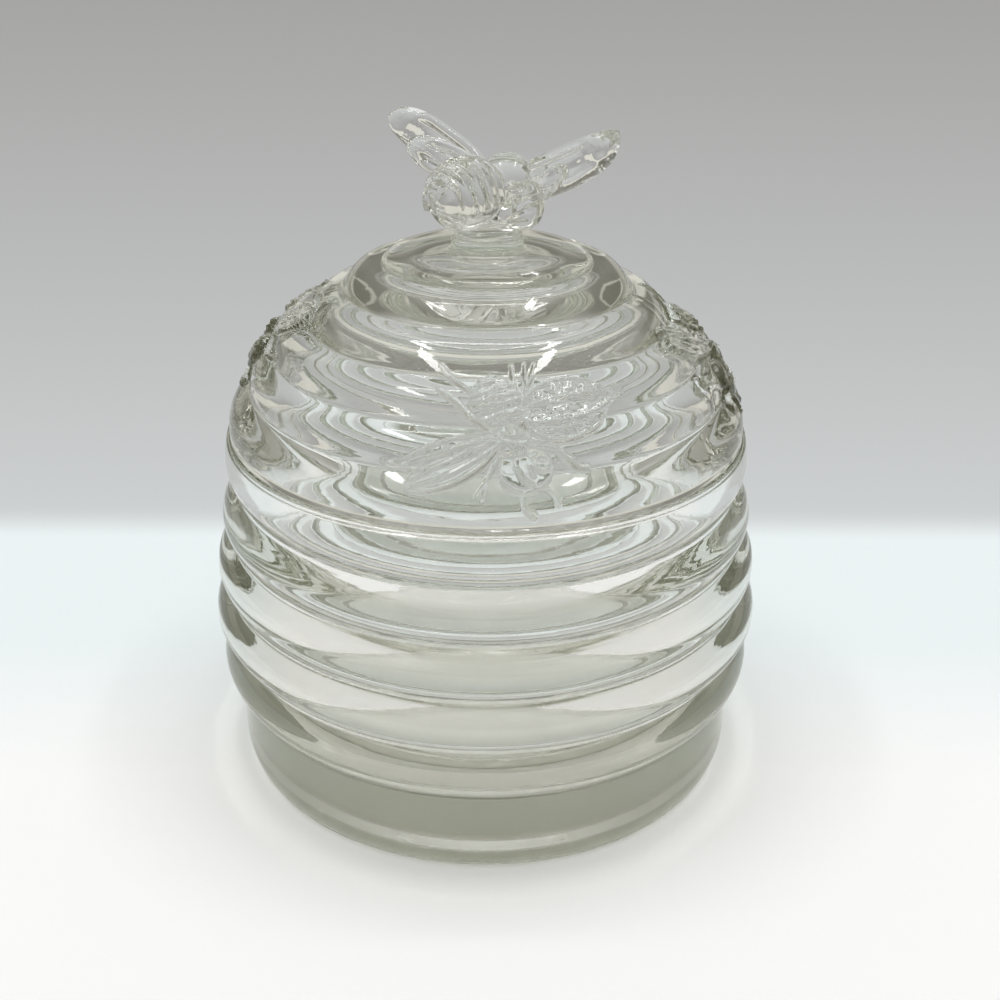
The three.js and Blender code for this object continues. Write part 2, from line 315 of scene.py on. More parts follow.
@dataclass
class TurningTree:
    """A Geometry Nodes tree that turns an outline round Z, with ribs that swell out of it.

    The outline is a row of points with the radius in X and the height in Z. Its attribute "rib" counts ribs
    along it, and its attribute "swell" says which way and how far a rib stands out there.
    """

    merge: float = 0.002
    wave_detail: float = 1.0
    inputs: tuple[tuple[str, str], ...] = (
        ("Outline", "Geometry"), ("Turn Steps", "Int"), ("Crease Softness", "Float"), ("Fullness", "Float"),
        ("Waviness", "Float"), ("Wave Size", "Float"), ("Seed", "Float"), ("Material", "Material"),
    )

    def build(self) -> bpy.types.NodeTree:
        """Builds the tree.

        Returns:
            The tree, with its sizes as named inputs.
        """
        tree = bpy.data.node_groups.new("turned glass", "GeometryNodeTree")
        for name, kind in self.inputs:
            tree.interface.new_socket(name, in_out="INPUT", socket_type="NodeSocket" + kind)
        tree.interface.new_socket("Piece", in_out="OUTPUT", socket_type="NodeSocketGeometry")
        given = add_node(tree, "NodeGroupInput").outputs
        outline, turn_steps, wave_size = given["Outline"], given["Turn Steps"], given["Wave Size"]
        softness, fullness = given["Crease Softness"], given["Fullness"]

        # The grid has a row for each point of the outline and a column for each step round.
        rows = add_node(tree, "GeometryNodeAttributeDomainSize", {"Geometry": outline}).outputs[0]
        index = add_node(tree, "GeometryNodeInputIndex").outputs[0]
        row = add_node(tree, MATH, {0: index, 1: rows}, operation="MODULO").outputs[0]
        column = index
        for operation, other in (("ADD", 0.5), ("DIVIDE", rows), ("FLOOR", 0.0)):
            column = add_node(tree, MATH, {0: column, 1: other}, operation=operation).outputs[0]
        columns = add_node(tree, MATH, {0: turn_steps, 1: 1.0}, operation="ADD").outputs[0]
        grid = add_node(tree, "GeometryNodeMeshGrid", {"Vertices X": columns, "Vertices Y": rows})
        held = {}
        for name, kind in (("position", "FLOAT_VECTOR"), ("rib", "FLOAT"), ("swell", "FLOAT_VECTOR")):
            source = add_node(tree, "GeometryNodeInputNamedAttribute", {"Name": name}, data_type=kind)
            held[name] = add_node(tree, "GeometryNodeSampleIndex", {
                "Geometry": outline, "Index": row, "Value": source.outputs[0],
            }, data_type=kind).outputs["Value"]

        # Each rib is a hump of a sine wave, with its valleys softened and its flanks made full or lean.
        wave = add_node(tree, MATH, {0: held["rib"], 1: math.pi}, operation="MULTIPLY").outputs[0]
        wave = add_node(tree, MATH, {0: wave}, operation="SINE").outputs[0]
        squared, least = [add_node(tree, MATH, {0: part, 1: part}, operation="MULTIPLY").outputs[0]
                          for part in (wave, softness)]
        summed = add_node(tree, MATH, {0: squared, 1: least}, operation="ADD").outputs[0]
        high, low = [add_node(tree, MATH, {0: part, 1: fullness}, operation="POWER").outputs[0]
                     for part in (summed, least)]
        hump = add_node(tree, MATH, {0: high, 1: low}, operation="SUBTRACT").outputs[0]
        swell = add_node(tree, "ShaderNodeVectorMath", {0: held["swell"], "Scale": hump}, operation="SCALE")
        point = add_node(tree, "ShaderNodeVectorMath", {0: held["position"], 1: swell.outputs[0]},
                         operation="ADD")
        split = add_node(tree, "ShaderNodeSeparateXYZ", {0: point.outputs[0]})
        radius, height = split.outputs["X"], split.outputs["Z"]
        angle = column
        for operation, other in (("DIVIDE", turn_steps), ("MULTIPLY", math.tau)):
            angle = add_node(tree, MATH, {0: angle, 1: other}, operation=operation).outputs[0]
        ways = [add_node(tree, MATH, {0: angle}, operation=operation).outputs[0]
                for operation in ("COSINE", "SINE")]

        # A noise in space makes the turned surface uneven, and fades out at the axis.
        across, depth = [add_node(tree, MATH, {0: radius, 1: way}, operation="MULTIPLY").outputs[0]
                         for way in ways]
        bare = add_node(tree, "ShaderNodeCombineXYZ", {"X": across, "Y": depth, "Z": height})
        rate = add_node(tree, MATH, {0: 1.0, 1: wave_size}, operation="DIVIDE")
        noise = add_node(tree, "ShaderNodeTexNoise", {
            "Vector": bare.outputs[0], "W": given["Seed"], "Detail": self.wave_detail,
            "Scale": rate.outputs[0],
        }, noise_dimensions="4D")
        near_axis = radius
        for operation, other in (("DIVIDE", wave_size), ("MINIMUM", 1.0)):
            near_axis = add_node(tree, MATH, {0: near_axis, 1: other}, operation=operation).outputs[0]
        waved = noise.outputs[0]
        for operation, other in (("SUBTRACT", 0.5), ("MULTIPLY", given["Waviness"]),
                                 ("MULTIPLY", near_axis), ("ADD", radius)):
            waved = add_node(tree, MATH, {0: waved, 1: other}, operation=operation).outputs[0]
        across, depth = [add_node(tree, MATH, {0: waved, 1: way}, operation="MULTIPLY").outputs[0]
                         for way in ways]
        spot = add_node(tree, "ShaderNodeCombineXYZ", {"X": across, "Y": depth, "Z": height})
        placed = add_node(tree, "GeometryNodeSetPosition", {
            "Geometry": grid.outputs["Mesh"], "Position": spot.outputs[0],
        })
        closed = add_node(tree, "GeometryNodeMergeByDistance", {
            "Geometry": placed.outputs[0], "Distance": self.merge,
        })
        real = add_node(tree, "GeometryNodeRealizeInstances", {"Geometry": closed.outputs[0]})
        dressed = add_node(tree, "GeometryNodeSetMaterial", {
            "Geometry": real.outputs[0], "Material": given["Material"],
        })
        add_node(tree, "NodeGroupOutput", {"Piece": dressed.outputs[0]})
        return tree


@dataclass
class Outline:
    """Points of a turned outline, outer side upwards, with the rib that each belongs to."""

    points: list[Point] = field(default_factory=list)
    ribs: list[float] = field(default_factory=list)
    swells: list[Point] = field(default_factory=list)

    def plain(self, points: Sequence[Point]) -> None:
        """Adds points that no rib reaches."""
        self.points.extend(points)
        self.ribs.extend([0.0] * len(points))
        self.swells.extend([(0.0, 0.0)] * len(points))

    def rib(self, start: Point, end: Point, bulge: float, steps: int) -> None:
        """Adds one rib that swells square to the line between its creases, its end left out."""
        length = math.dist(start, end)
        swell = ((end[1] - start[1]) / length * bulge, (start[0] - end[0]) / length * bulge)
        self.points.extend(line(start, end, steps))
        self.ribs.extend(step / steps for step in range(steps))
        self.swells.extend([swell] * steps)

    def turned(self, name: str, tree: bpy.types.NodeTree, material: bpy.types.Material,
               sizes: dict[str, float]) -> bpy.types.Mesh:
        """Turns the outline round Z.

        Args:
            name: The mesh's name.
            tree: The turning tree.
            material: The finish that the tree sets.
            sizes: The tree's other named inputs.

        Returns:
            A closed mesh in the outline's own units.
        """
        mesh = bpy.data.meshes.new(name)
        last = len(self.points) - 1
        mesh.from_pydata([(radius, 0, height) for radius, height in self.points],
                         [(at, at + 1) for at in range(last)], [])
        ribs = mesh.attributes.new("rib", "FLOAT", "POINT")
        ribs.data.foreach_set("value", self.ribs)
        swells = mesh.attributes.new("swell", "FLOAT_VECTOR", "POINT")
        swells.data.foreach_set("vector", [part for radius, height in self.swells
                                           for part in (radius, 0, height)])
        wire = add_object(name + "_outline", mesh)
        turning = wire.modifiers.new("turning", "NODES")
        turning.node_group = tree
        keys = {item.name: item.identifier for item in tree.interface.items_tree if item.in_out == "INPUT"}
        for key, value in {**sizes, "Material": material}.items():
            turning[keys[key]] = value
        done = frozen(wire, name)
        tidy_mesh(done, TurningTree.merge)
        return done


@dataclass
class Jar:
    """The ribbed jar: foot ring, five ribs like coils of straw, rim, and a smooth bore."""

    belly_radius: float = 53.0
    foot_set_in: float = 4.0
    foot_height: float = 16.8
    foot_round_width: float = 2.4
    foot_round_height: float = 5.0
    foot_ring_width: float = 8.0
    foot_recess_depth: float = 1.2
    foot_recess_slope: float = 2.5
    rib_height: float = 10.06
    rib_depth: float = 2.7
    rib_fullness: float = 0.42
    rib_radius_shares: tuple[float, ...] = (0.984, 1.0, 0.982, 0.953, 0.927)
    rim_set_in: float = 0.75
    rim_wall: float = 4.2
    rim_round: float = 0.6
    floor_thickness: float = 14.5
    bore_taper: float = 1.6
    bore_round: float = 6.0
    crease_softness: float = 0.03
    waviness: float = 0.03
    wave_size: float = 11.0
    turn_steps: int = 256
    rib_steps: int = 24
    arc_steps: int = 10
    bore_steps: int = 30
    seed: float = 3.0

    def outline(self) -> Outline:
        """Draws the jar's outline, from the middle of its underside round to the middle of its floor."""
        steps, bend, edge_round = self.arc_steps, self.bore_round, self.rim_round
        foot = self.belly_radius - self.foot_set_in
        ring_outer = foot - self.foot_round_width
        ring_inner = ring_outer - self.foot_ring_width
        radii = [share * self.belly_radius for share in self.rib_radius_shares]
        creases = [(radius + below) / 2 - self.rib_depth
                   for radius, below in zip(radii, [radii[0], *radii])]
        rim = radii[-1] - self.rim_set_in
        creases.append(rim)
        drawn = Outline()
        under = [(0, self.foot_recess_depth), (ring_inner - self.foot_recess_slope, self.foot_recess_depth),
                 (ring_inner, 0), (ring_outer, 0)]
        for start, end in zip(under, under[1:]):
            drawn.plain(line(start, end, steps))
        foot_low = (foot, self.foot_round_height)
        drawn.plain(quarter((ring_outer, foot_low[1]), self.foot_round_width, foot_low[1], -1, 0, steps))
        drawn.plain(line(foot_low, (foot, self.foot_height), steps)[1:])
        drawn.plain([(foot, self.foot_height)])
        for number, radius in enumerate(radii):
            start = (creases[number], self.foot_height + number * self.rib_height)
            end = (creases[number + 1], start[1] + self.rib_height)
            drawn.rib(start, end, radius - (start[0] + end[0]) / 2, self.rib_steps)
        mouth = rim - self.rim_wall
        edge = self.foot_height + len(radii) * self.rib_height - edge_round
        for turn, middle in enumerate((rim - edge_round, mouth + edge_round)):
            drawn.plain(quarter((middle, edge), edge_round, edge_round, turn, turn + 1, steps))
        bore = mouth - self.bore_taper
        bore_low = (bore, self.floor_thickness + bend)
        drawn.plain(line((mouth, edge), bore_low, self.bore_steps)[1:])
        drawn.plain(quarter((bore - bend, bore_low[1]), bend, bend, 0, -1, 2 * steps))
        drawn.plain(line((bore - bend, self.floor_thickness), (0, self.floor_thickness), steps)[1:])
        drawn.plain([(0, self.floor_thickness)])
        return drawn

    def build(self, tree: bpy.types.NodeTree, glass: bpy.types.Material) -> bpy.types.Object:
        """Makes the jar and puts it in its place.

        Args:
            tree: The turning tree.
            glass: Its finish.

        Returns:
            The finished piece.
        """
        mesh = self.outline().turned("jar", tree, glass, {
            "Turn Steps": self.turn_steps, "Crease Softness": self.crease_softness,
            "Fullness": self.rib_fullness, "Waviness": self.waviness, "Wave Size": self.wave_size,
            "Seed": self.seed,
        })
        return finish_piece("jar", mesh, glass, Body.JAR, "jar_body")


@dataclass(frozen=True)
class Lump:
    """A rounded swelling of the relief, seen from outside with the slope upwards, in mm."""

    across: float
    along: float
    width: float
    length: float
    height: float
    turn: float = 0.0
    grooves: float = 0.0
    fullness: float = 0.6
    groove_share: float = 0.16

    def relief(self, across: np.ndarray, along: np.ndarray) -> np.ndarray:
        """How far it stands out at each place."""
        right, up = turned_axes(across - self.across, along - self.along, self.turn)
        x, y = right / self.width, up / self.length
        rounded = np.clip(1 - x * x - y * y, 0, 1) ** self.fullness
        if self.grooves:
            rounded = rounded * (1 - self.groove_share * (1 - np.abs(np.sin(math.pi * self.grooves * y))))
        return self.height * rounded


@dataclass(frozen=True)
class Wing:
    """A flat veined wing of the relief from its root to its tip, in mm."""

    root: Point
    tip: Point
    width: float
    height: float
    fullness: float = 1.0
    veins: int = 3
    edge: float = 0.5
    vein_width: float = 0.22
    vein_height: float = 0.22
    vein_share: float = 0.8
    most: float = 1.2

    def relief(self, across: np.ndarray, along: np.ndarray) -> np.ndarray:
        """How far it stands out at each place."""
        run = (self.tip[0] - self.root[0], self.tip[1] - self.root[1])
        length = math.hypot(*run)
        right, up = across - self.root[0], along - self.root[1]
        t = (right * run[0] + up * run[1]) / length ** 2
        aside = (up * run[0] - right * run[1]) / length
        bowed = np.clip(t, 0, 1) ** self.fullness
        half = self.width * np.sqrt(np.clip(1 - (2 * bowed - 1) ** 2, 0, 1))
        plate = smooth_step((half - np.abs(aside)) / self.edge)
        rim = np.exp(-((half - np.abs(aside) - self.edge) / self.vein_width) ** 2)
        lines = sum(np.exp(-((aside - half * (2 * vein / (self.veins + 1) - 1)) / self.vein_width) ** 2)
                    for vein in range(1, self.veins + 1))
        pattern = np.clip(rim + self.vein_share * lines, 0, self.most)
        return plate * (self.height + self.vein_height * pattern)


@dataclass(frozen=True)
class Ridge:
    """A thin ridge of the relief along a row of points, such as a leg or a feeler, in mm."""

    points: tuple[Point, ...]
    width: float
    height: float

    def relief(self, across: np.ndarray, along: np.ndarray) -> np.ndarray:
        """How far it stands out at each place."""
        nearest = np.full(across.shape, np.inf)
        for (x0, y0), (x1, y1) in zip(self.points, self.points[1:]):
            run = np.array([x1 - x0, y1 - y0])
            share = np.clip(((across - x0) * run[0] + (along - y0) * run[1]) / (run @ run), 0, 1)
            away = np.hypot(across - x0 - share * run[0], along - y0 - share * run[1])
            nearest = np.minimum(nearest, away)
        return self.height * np.exp(-(nearest / self.width) ** 2)


def crumple(across: np.ndarray, along: np.ndarray, size: float, seed: int) -> np.ndarray:
    """Uneven humps and hollows from -1 to 1 on a surface.

    Args:
        across: Places one way.
        along: Places the other way.
        size: About how far apart the humps are.
        seed: Which unevenness.

    Returns:
        The height at each place.
    """
    knots_across, knots_along = CRUMPLE_KNOTS
    heights = np.random.default_rng(seed).uniform(-1, 1, CRUMPLE_KNOTS)
    x, y = across / size, along / size
    left, low = np.floor(x).astype(int), np.floor(y).astype(int)
    right, up = smooth_step(x - left), smooth_step(y - low)
    rows = []
    for above in (0, 1):
        near, far = (heights[(left + aside) % knots_across, (low + above) % knots_along]
                     for aside in (0, 1))
        rows.append(near * (1 - right) + far * right)
    return rows[0] * (1 - up) + rows[1] * up


def loop(middle: Point, radius: float, steps: int = 12) -> tuple[Point, ...]:
    """Points on a small circle, closed."""
    angles = [math.tau * step / steps for step in range(steps + 1)]
    return tuple((middle[0] + radius * math.cos(angle), middle[1] + radius * math.sin(angle))
                 for angle in angles)


@dataclass(frozen=True)
class ReliefPlace:
    """Where a moulded bee sits: degrees round, mm up the slope, degrees turned, and mm between columns."""

    azimuth: float
    slope: float
    turn: float
    spacing: float

    def away(self, angles: np.ndarray | float) -> np.ndarray | float:
        """How far round from the bee's middle angles are, at most half a turn, all in radians."""
        return (angles - math.radians(self.azimuth) + math.pi) % math.tau - math.pi


@dataclass
class ReliefBee:
    """The bee in low relief that the lid's mould repeats, with its thorax at the origin and its tail up."""

    body: tuple[Lump, ...] = (
        Lump(-1.9, 6.5, 4.5, 5.3, 1.1, turn=16, grooves=3.5),
        Lump(0, 0, 3.0, 3.0, 1.25),
        Lump(2.0, -4.7, 4.2, 3.7, 0.95, turn=12, fullness=0.3),
        Lump(4.3, -3.6, 1.3, 1.3, 0.9),
    )
    marks: tuple[Ridge, ...] = (
        Ridge(loop((4.3, -3.6), 1.15), 0.22, 0.4),
        Ridge(loop((-2.7, 5.6), 0.6), 0.18, 0.25),
        Ridge(loop((-1.5, 4.0), 0.5), 0.18, 0.25),
        Ridge(((0.3, -2.3), (0.4, -4.3), (1.4, -6.0), (2.9, -6.9)), 0.2, 0.24),
        Ridge(((2.6, -2.0), (2.3, -3.8), (2.9, -5.4)), 0.18, 0.2),
        Ridge(((-1.6, 1.2), (0.4, 0.6), (1.9, 1.4)), 0.2, 0.22),
        Ridge(((0.4, 2.4), (0.9, 0.2), (1.2, -1.9)), 0.2, 0.22),
    )
    limbs: tuple[Wing | Ridge, ...] = (
        Wing((1.7, 4.2), (17.5, 5.6), 5.7, 0.62, fullness=0.9, veins=2, edge=0.7, vein_height=0.14),
        Wing((2.0, 1.0), (13.8, 2.2), 2.4, 0.42, veins=1, vein_height=0.14),
        Wing((-1.6, 0.2), (-16.2, -7.8), 2.8, 0.75, fullness=1.2, veins=2, edge=0.4, vein_height=0.22),
        Wing((-1.8, 1.6), (-17.0, -4.6), 2.2, 0.5, fullness=1.2, veins=1, edge=0.4, vein_height=0.22),
        Ridge(((-3, 4.4), (-5.8, 8.1), (-9.0, 10.4), (-11.7, 12.9)), 0.3, 0.34),
        Ridge(((-2.4, 2.4), (-5.8, 4.0), (-8.6, 6.6), (-11.9, 8.7)), 0.32, 0.36),
        Ridge(((1.0, 6.0), (1.3, 9.3), (1.0, 13.0)), 0.28, 0.3),
        Ridge(((2.0, 5.0), (3.3, 9.3), (4.4, 11.0), (5.2, 13.0)), 0.28, 0.32),
        Ridge(((3.3, 9.8), (3.4, 13.2)), 0.24, 0.26),
        Ridge(((2.4, -0.4), (6.3, -1.1), (9.5, -3.6), (10.3, -4.6), (12.0, -5.0)), 0.3, 0.34),
        Ridge(((-1.8, -1.6), (-4.0, -5.8), (-4.6, -8.8)), 0.28, 0.32),
        Ridge(((-4.0, -5.8), (-5.8, -8.4)), 0.24, 0.26),
        Ridge(((1.1, -7.0), (1.2, -8.2), (1.6, -10.6), (2.9, -11.8)), 0.3, 0.4),
        Ridge(((4.2, -6.2), (4.9, -7.2), (6.2, -8.6), (6.6, -10.2)), 0.28, 0.36),
    )
    sharpness: float = 4.0
    fur_height: float = 0.08
    fur_size: float = 1.45
    fur_fine_share: float = 0.6
    fur_seeds: tuple[int, int] = (1, 2)
    fur_start: float = 0.6
    smooth_below: Point = (-3.2, -0.8)
    boldness: float = 1.45

    def relief(self, across: np.ndarray, along: np.ndarray) -> np.ndarray:
        """Adds up the bee's parts.

        Args:
            across: Places to the right of the thorax.
            along: Places up from the thorax.

        Returns:
            How far the bee stands out there, with 0 away from it.
        """
        swells = sum(np.clip(part.relief(across, along), 0, None) ** self.sharpness
                     for part in (*self.body, *self.limbs))
        height = swells ** (1 / self.sharpness)
        fur = crumple(across, along, self.fur_size, self.fur_seeds[0])
        fur += self.fur_fine_share * crumple(across, along, self.fur_size / 2, self.fur_seeds[1])
        fur *= smooth_step((along - self.smooth_below[0]) / (self.smooth_below[1] - self.smooth_below[0]))
        marked = sum(mark.relief(across, along) for mark in self.marks)
        detail = (self.fur_height * fur + marked) * smooth_step(height / self.fur_start)
        return (height + detail) * self.boldness


@dataclass
class Lid:
    """The domed lid: stepped bands, bees in low relief, and the plinth in the middle of its crown."""

    radius: float = 47.98
    seat: float = 67.4
    edge_round: float = 0.5
    dome_rise: float = 33.0
    band_depth: float = 1.5
    band_radius_shares: tuple[float, ...] = (1.0, 0.912, 0.816, 0.69, 0.546, 0.388)
    band_rise_shares: tuple[float, ...] = (0.0, 0.25, 0.445, 0.625, 0.805, 0.94)
    crown_round: float = 5.0
    crease_softness: float = 0.05
    crown_thickness: float = 5.4
    hollow_flat: float = 6.0
    hollow_sag: float = 0.2
    lip_radius: float = 43.68
    lip_wall: float = 3.4
    lip_depth: float = 4.0
    lip_round: float = 0.8
    plinth_length: float = 13.0
    plinth_width: float = 9.0
    plinth_height: float = 2.4
    plinth_fillet: float = 0.9
    plinth_edge: float = 0.35
    places: tuple[ReliefPlace, ...] = (
        ReliefPlace(-84.6, 13.9, 0, 0.2),
        ReliefPlace(-4, 15.5, -54, 0.48),
        ReliefPlace(172, 17.0, 20, 0.55),
    )
    bee_reach: float = 18.5
    bee_fill: float = 0.8
    bee_blend: float = 0.25
    fades: Point = (1.5, 4.0)
    middle_share: float = 0.87
    least_gap: float = 0.2
    plain_spacing: float = 2.2
    fine_rows: float = 0.24
    plain_rows: float = 0.55
    fine_slope: Point = (1.5, 34.0)
    arc_steps: int = 6
    hollow_steps: int = 22
    lip_steps: int = 3
    waviness: float = 0.03
    wave_counts: tuple[int, int] = (5, 3)
    wave_drifts: Point = (2.0, 2.1)

    def columns(self) -> np.ndarray:
        """Angles of the columns round the lid, close together where a bee sits, in radians."""
        middle = self.radius * self.middle_share
        angles: list[float] = []
        at = -math.pi
        while at < math.pi:
            angles.append(at)
            step = self.plain_spacing
            for place in self.places:
                if abs(place.away(at)) * middle < self.bee_reach:
                    step = min(step, place.spacing)
            at += step / middle
        if math.pi - angles[-1] < self.least_gap * self.plain_spacing / middle:
            angles.pop()
        return np.array(angles)

    def slope_rows(self) -> np.ndarray:
        """Distances up the dome's slope at which its rows lie, with one on each crease."""
        marks = self.crease_marks()
        rows: list[float] = []
        for start, end in zip(marks, marks[1:]):
            fine = self.fine_slope[0] < (start + end) / 2 < self.fine_slope[1]
            steps = math.ceil((end - start) / (self.fine_rows if fine else self.plain_rows))
            rows.extend(start + (end - start) * step / steps for step in range(steps))
        return np.array([*rows, marks[-1]])

    def creases(self) -> np.ndarray:
        """Radius and height of the creases between the bands, from the lid's edge up to its crown."""
        points = np.array([(share * self.radius, self.seat + rise * self.dome_rise)
                           for share, rise in zip(self.band_radius_shares, self.band_rise_shares)])
        points[0, 1] += self.edge_round
        return points

    def crease_marks(self) -> np.ndarray:
        """Distances of the creases up the slope."""
        return np.concatenate([[0], np.cumsum(np.hypot(*np.diff(self.creases(), axis=0).T))])

    def dome(self, angles: np.ndarray) -> np.ndarray:
        """Shapes the banded dome and its bees.

        Args:
            angles: The columns.

        Returns:
            Radius and height for each row and column.
        """
        points, marks, rows = self.creases(), self.crease_marks(), self.slope_rows()
        runs = np.diff(points, axis=0)
        square = np.stack([runs[:, 1], -runs[:, 0]], 1) / np.hypot(*runs.T)[:, None]
        corners = np.concatenate([square[:1], (square[:-1] + square[1:]) / 2, square[-1:]])
        base, out = (np.stack([np.interp(rows, marks, table[:, axis]) for axis in (0, 1)], 1)
                     for table in (points, corners))
        out /= np.hypot(*out.T)[:, None]
        band = np.interp(rows, marks, np.arange(len(marks)))[:, None]
        stand = np.repeat(self.band_depth * soft_wave(band, self.crease_softness), len(angles), 1)
        stand += (self.waviness * np.sin(self.wave_counts[0] * angles + self.wave_drifts[0] * band)
                  * np.sin(self.wave_drifts[1] * band + self.wave_counts[1] * angles))
        fade = smooth_step((marks[-1] - rows) / self.fades[1]) * smooth_step(rows / self.fades[0])
        bee = ReliefBee()
        for place in self.places:
            centre = np.interp(place.slope, rows, base[:, 0])
            right = place.away(angles)[None, :] * (base[:, :1] + centre) / 2
            up = np.repeat((rows - place.slope)[:, None], len(angles), 1)
            height = bee.relief(*turned_axes(right, up, place.turn)) * fade[:, None]
            cover = smooth_step(height / self.bee_blend)
            filled = np.maximum(stand, self.bee_fill * self.band_depth)
            stand = stand * (1 - cover) + (filled + height) * cover
        return base[:, None, :] + out[:, None, :] * stand[:, :, None]

    def plinth_rows(self, angles: np.ndarray) -> np.ndarray:
        """Radius and height of the rows over the crown, up the plinth's wall and over its top."""
        steps, rounding = self.arc_steps, self.crown_round
        fillet, edge = self.plinth_fillet, self.plinth_edge
        crown, crease = self.seat + self.dome_rise, self.creases()[-1]
        top = crown + self.plinth_height
        long_half, short_half = self.plinth_length / 2, self.plinth_width / 2
        oval = long_half * short_half / np.hypot(short_half * np.cos(angles), long_half * np.sin(angles))
        foot, inner = oval + fillet, oval - edge
        middle = (self.radius * self.band_radius_shares[-1] - rounding, crease[1])
        rows = quarter(middle, rounding, crown - crease[1], 0, 1, 2 * steps)[1:]
        start = rows[-1][0]
        rows += [(start + (foot - start) * step / steps, crown) for step in range(1, steps)]
        rows += [(foot + aside, height)
                 for aside, height in quarter((0, crown + fillet), fillet, fillet, -1, -2, steps)]
        rows += [(inner + aside, height)
                 for aside, height in quarter((0, top - edge), edge, edge, 0, 1, steps)]
        rows += [(inner * (1 - step / steps), top) for step in range(1, steps + 1)]
        return np.stack([np.stack(np.broadcast_arrays(radius, height, angles)[:2], 1)
                         for radius, height in rows])

    def hollow_rows(self) -> list[Point]:
        """Radius and height down the wall of the hollow, round the lip and out over the seat."""
        inner = self.lip_radius - self.lip_wall
        rise = self.dome_rise - self.crown_thickness
        bend, edge, steps = self.lip_round, self.edge_round, self.arc_steps
        low = self.seat - self.lip_depth + bend
        rows = [(radius, self.seat + rise - self.hollow_sag * (1 - (radius / self.hollow_flat) ** 2) ** 2)
                for radius, _ in line((0, 0), (self.hollow_flat, 0), steps)]
        rows += quarter((self.hollow_flat, self.seat), inner - self.hollow_flat, rise, 1, 0,
                        self.hollow_steps)
        rows += line((inner, self.seat), (inner, low), self.lip_steps)[1:]
        rows += quarter((inner + bend, low), bend, bend, 2, 3, steps)
        rows += quarter((self.lip_radius - bend, low), bend, bend, -1, 0, steps)
        rows += line((self.lip_radius, low), (self.lip_radius, self.seat), self.lip_steps)[1:]
        rows += line((self.lip_radius, self.seat), (self.radius - edge, self.seat), self.lip_steps)
        rows += quarter((self.radius - edge, self.seat + edge), edge, edge, -1, 0, steps)[:-1]
        return rows

    def build(self, glass: bpy.types.Material) -> bpy.types.Object:
        """Makes the lid and puts it in its place.

        Args:
            glass: Its finish.

        Returns:
            The finished piece.
        """
        angles = self.columns()
        hollow = np.repeat(np.array(self.hollow_rows())[:, None, :], len(angles), 1)
        rows = np.concatenate([hollow, self.dome(angles), self.plinth_rows(angles)])
        x, y = rows[:, :, 0] * np.cos(angles), rows[:, :, 0] * np.sin(angles)
        points = np.stack([x, y, rows[:, :, 1]], 2).reshape(-1, 3)
        mesh = mesh_from("lid", points, ring_faces(len(rows), len(angles)))
        tidy_mesh(mesh, TurningTree.merge)
        return finish_piece("lid", mesh, glass, Body.LID, "lid_dome")


@dataclass
class Blade:
    """One of the bee's wings: a thick upright leaf with a raised rim and tip, in mm and degrees."""

    length: float
    width: float
    thickness: float
    rise: float
    sweep: float = 0.0
    drop: float = 0.0
    straight: float = 0.0
    fullness: float = 0.55
    panel_share: float = 0.62
    panel_edge: Point = (0.5, 0.72)
    tip_start: float = 0.62
    tip_swell: float = 0.0
    tip_facets: float = 0.0
    back: float = 0.0
    inset: float = 0.0
    vein_depth: float = 0.07
    veins: float = 3.5
    leaf_power: int = 3
    edge_power: float = 0.8
    side_power: int = 4
    tip_gain: float = 1.4
    bow_share: float = 0.7
    facet_turns: tuple[int, int, int] = (5, 26, 34)
    rings: int = 40
    around: int = 40

    def section(self, at: float) -> list[tuple[float, float, float]]:
        """Points of the ring at one share of the blade's length, before it is placed."""
        leaf = max(1 - abs(2 * at - 1) ** self.leaf_power, 0) ** self.fullness
        tip = smooth_step((at - self.tip_start) / (1 - self.tip_start) * self.tip_gain)
        shift = self.straight * self.width / 2 * (self.bow_share - leaf)
        low, high = self.panel_edge
        round_turns, ring_turns, row_turns = self.facet_turns
        points = []
        for step in range(self.around):
            angle = math.tau * step / self.around
            up = math.copysign(abs(math.cos(angle)) ** self.edge_power, math.cos(angle))
            raised = max(smooth_step((abs(up) - low) / (high - low)), tip)
            thick = self.panel_share + (1 - self.panel_share) * raised
            thick += self.vein_depth * math.sin(self.veins * math.pi * up) * (1 - raised)
            facets = self.tip_facets * math.sin(round_turns * angle + ring_turns * at)
            thick *= 1 + tip * (self.tip_swell + facets * math.sin(row_turns * at))
            out = math.copysign(math.sqrt(max(1 - abs(up) ** self.side_power, 0)), math.sin(angle)) * thick
            points.append((out * self.thickness / 2 * leaf, at * self.length,
                           up * self.width / 2 * leaf + shift - self.drop))
        return points

    def mesh(self, side: int, lean: float, root: Vector) -> bpy.types.Mesh:
        """Shapes the blade.

        Args:
            side: 1 for a left wing and -1 for a right one.
            lean: Degrees that its upper edge leans forward.
            root: Where it leaves the thorax on the left side.

        Returns:
            Its mesh, in the bee's own place.
        """
        points = [point for ring in range(self.rings + 1)
                  for point in self.section((1 - math.cos(math.pi * ring / self.rings)) / 2)]
        climb = math.asin(self.rise / self.length)
        turned = (Matrix.Rotation(math.radians(self.sweep), 4, "Z") @ Matrix.Rotation(climb, 4, "X")
                  @ Matrix.Rotation(math.radians(lean), 4, "Y"))
        placed = [turned @ Vector(point) for point in points]
        start = Vector((root.x - self.back, root.y - self.inset, root.z))
        spots = np.array([(spot.x + start.x, (spot.y + start.y) * side, spot.z + start.z)
                          for spot in placed])
        mesh = mesh_from("blade", spots, ring_faces(self.rings + 1, self.around))
        tidy_mesh(mesh, TurningTree.merge)
        return mesh


